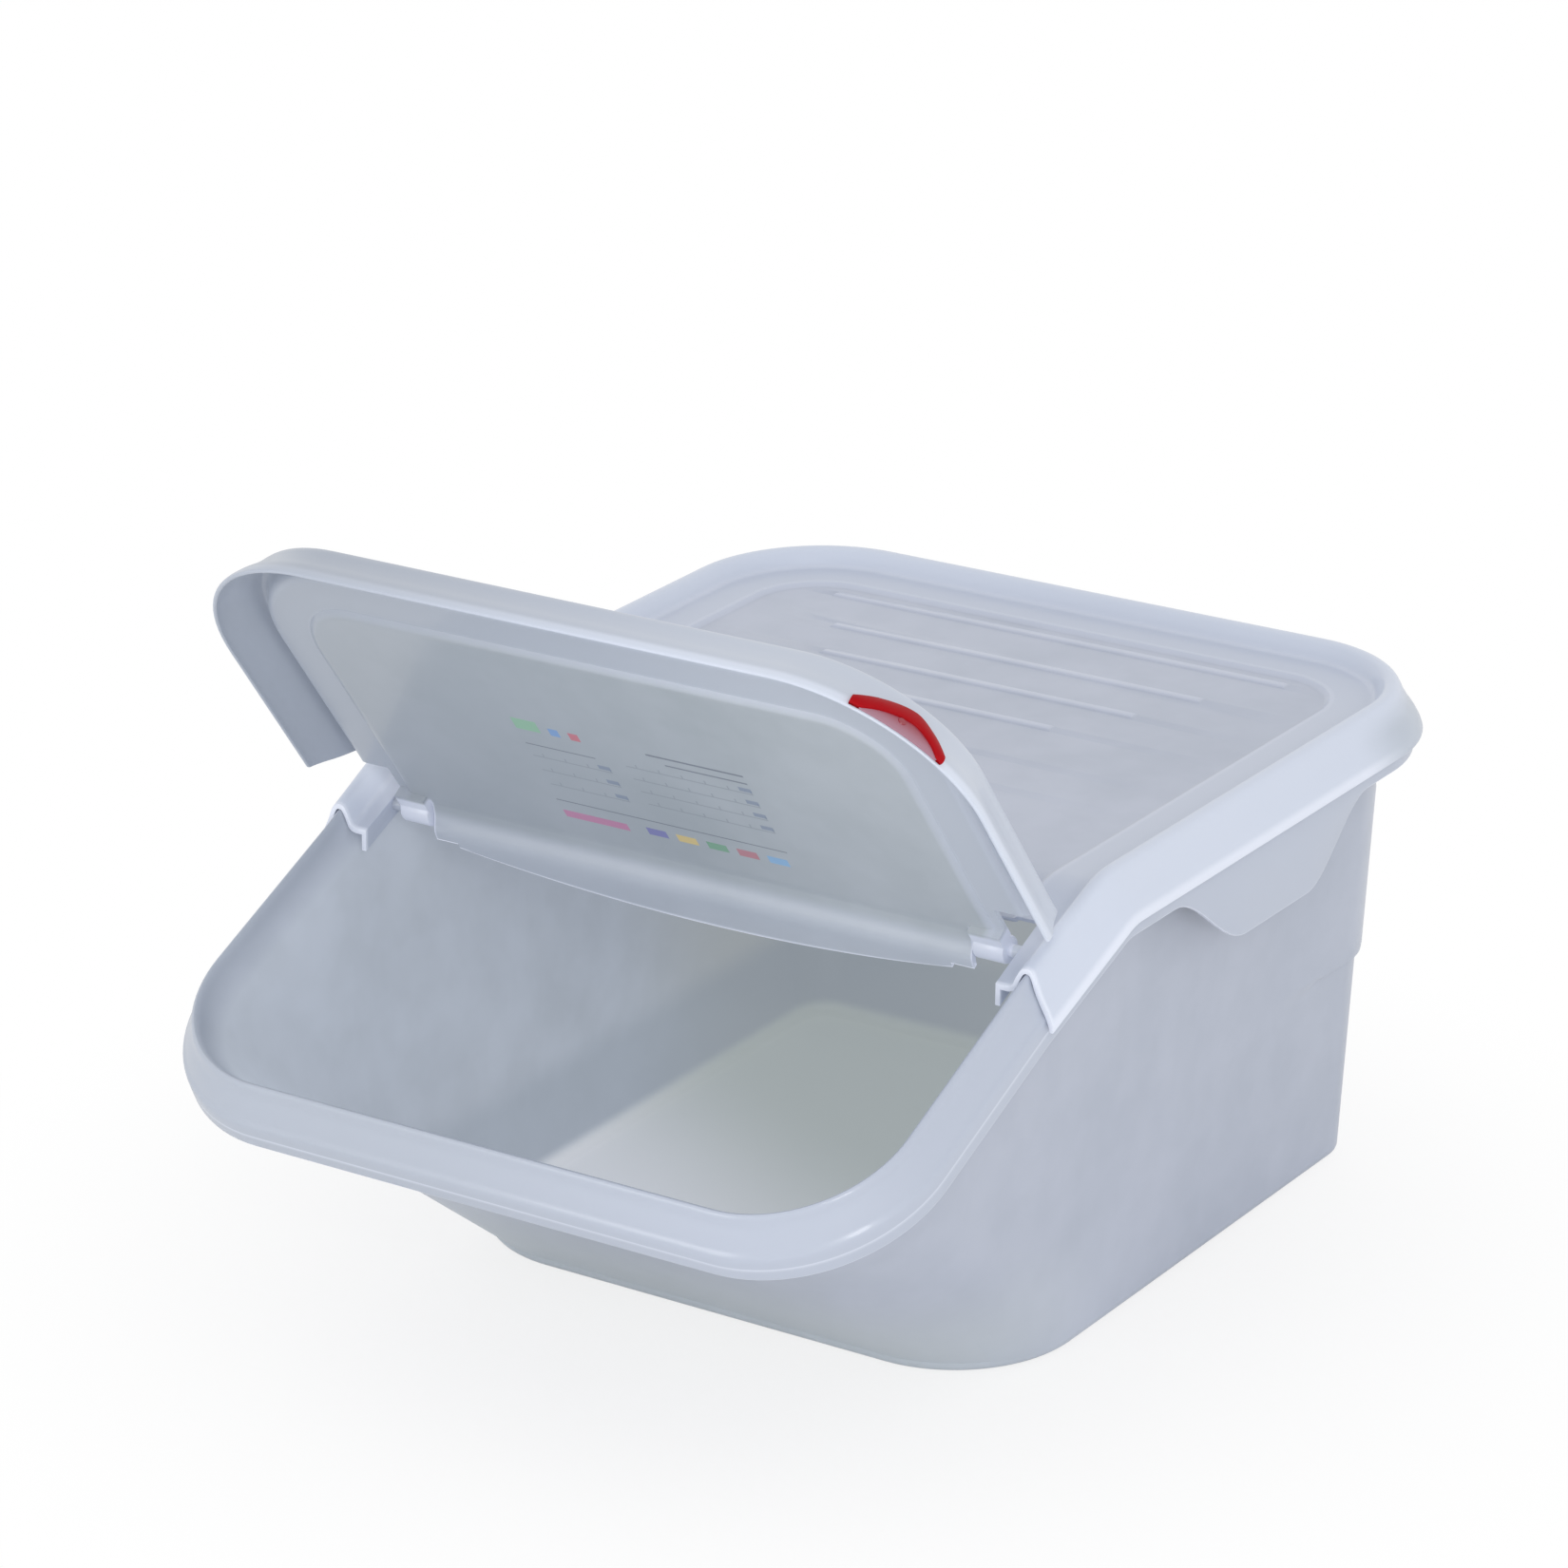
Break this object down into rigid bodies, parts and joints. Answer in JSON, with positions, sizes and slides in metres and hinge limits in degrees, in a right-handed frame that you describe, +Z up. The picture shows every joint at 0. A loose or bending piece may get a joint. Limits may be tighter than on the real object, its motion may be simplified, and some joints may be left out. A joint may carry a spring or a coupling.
{
  "type": "rice bin with flip lid",
  "caption": "Translucent food storage bin with a sloping front mouth, a lift-off rear cover and a hinged flip flap with a red corner clip.",
  "frame": {"origin": "under the middle of the bin's overall box, on the surface that it stands on", "axes": "+Z up, +Y towards the high back of the bin, -Y towards the sloping mouth, +X to the right seen from the mouth"},
  "size_m": [0.3, 0.3936, 0.2788],
  "materials": {
    "bin_plastic": "milky translucent polypropylene, smooth, soft gloss",
    "cover_plastic": "milky translucent polypropylene, smooth, soft gloss",
    "clip_plastic": "saturated red, satin",
    "label_print": "thin clear film with printed rows and colour swatches"
  },
  "bodies": {
    "bin": {"bin": "bin_plastic"},
    "rear_lid": {"rear_lid": "cover_plastic"},
    "flap": {"flip_flap": "cover_plastic", "label_film": "label_print"},
    "clip": {"colour_clip": "clip_plastic"}
  },
  "joints": [
    {"name": "lid_lift", "type": "slide", "parent": "bin", "child": "rear_lid", "axis": [0, 0, 1], "range_m": [0, 0.06]},
    {"name": "flap_hinge", "type": "hinge", "parent": "rear_lid", "child": "flap", "pos_m": [0, -0.06742, 0.16049], "axis": [-1, 0, 0], "range_deg": [-79, 31]},
    {"name": "clip_pull", "type": "slide", "parent": "flap", "child": "clip", "axis": [0.6274, 0.0036, 0.7787], "range_m": [0, 0.012]}
  ]
}
